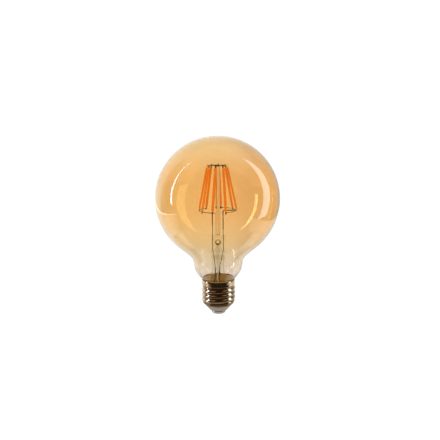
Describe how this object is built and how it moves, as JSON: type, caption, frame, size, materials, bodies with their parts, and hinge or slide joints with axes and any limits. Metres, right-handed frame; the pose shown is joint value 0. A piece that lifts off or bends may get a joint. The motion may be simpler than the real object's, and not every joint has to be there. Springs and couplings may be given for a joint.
{
  "type": "smart light bulb",
  "caption": "Smart filament bulb: amber glass globe with straight filaments on a glass stem, and a screw cap that holds its wireless driver.",
  "frame": {"origin": "middle of the flat end of the centre contact, on the bulb's axis", "axes": "+Z along the bulb's axis from the screw cap to the top of the globe; -Y is the front, the side that the stem's blow hole faces; +X to the right seen from the front"},
  "size_m": [0.095, 0.095, 0.138],
  "materials": {
    "amber_glass": "clear amber tinted blown glass, polished",
    "clear_glass": "clear drawn glass",
    "phosphor": "orange phosphor in silicone, satin",
    "nickel_wire": "drawn nickel wire, slightly oxidised",
    "cap_nickel": "bright warm nickel plate",
    "contact_metal": "pressed nickel-plated metal",
    "insulator": "grey moulded insulator, satin",
    "cement": "ochre basing cement, matte",
    "circuit_board": "green solder mask",
    "chip_black": "moulded epoxy",
    "capacitor_sleeve": "shrunk film sleeve",
    "ferrite": "sintered ferrite, matte",
    "copper": "enamelled copper",
    "solder": "tinned metal, bright",
    "resistor_body": "lacquered body",
    "wire_insulation": "silicone insulation",
    "liner_plastic": "off-white moulded plastic"
  },
  "bodies": {
    "root": {"aerial_wire": "wire_insulation", "basing_cement": "cement", "bridge_rectifier": "chip_black", "bulk_capacitor": "capacitor_sleeve", "cap_insulator": "insulator", "cap_shell": "cap_nickel", "centre_contact": "contact_metal", "centre_rod": "clear_glass", "contact_nail": "contact_metal", "driver_board": "circuit_board", "driver_chip": "chip_black", "driver_liner": "liner_plastic", "exhaust_tube": "clear_glass", "filament_1": "phosphor", "filament_1_lower_tab": "nickel_wire", "filament_1_upper_tab": "nickel_wire", "filament_2": "phosphor", "filament_2_lower_tab": "nickel_wire", "filament_2_upper_tab": "nickel_wire", "filament_3": "phosphor", "filament_3_lower_tab": "nickel_wire", "filament_3_upper_tab": "nickel_wire", "filament_4": "phosphor", "filament_4_lower_tab": "nickel_wire", "filament_4_upper_tab": "nickel_wire", "filament_5": "phosphor", "filament_5_lower_tab": "nickel_wire", "filament_5_upper_tab": "nickel_wire", "filament_6": "phosphor", "filament_6_lower_tab": "nickel_wire", "filament_6_upper_tab": "nickel_wire", "filament_7": "phosphor", "filament_7_lower_tab": "nickel_wire", "filament_7_upper_tab": "nickel_wire", "filament_8": "phosphor", "filament_8_lower_tab": "nickel_wire", "filament_8_upper_tab": "nickel_wire", "frame_wire_left": "nickel_wire", "frame_wire_right": "nickel_wire", "fusible_resistor": "resistor_body", "globe": "amber_glass", "inductor_core": "ferrite", "inductor_winding": "copper", "live_lead": "copper", "lower_ring_left": "nickel_wire", "lower_ring_right": "nickel_wire", "module_header": "chip_black", "outer_lead_left": "wire_insulation", "outer_lead_right": "wire_insulation", "shell_lead": "copper", "shell_solder": "solder", "stem_flare": "clear_glass", "stem_lead_left": "nickel_wire", "stem_lead_right": "nickel_wire", "top_star": "nickel_wire", "wireless_board": "circuit_board", "wireless_shield": "solder"}
  },
  "joints": []
}
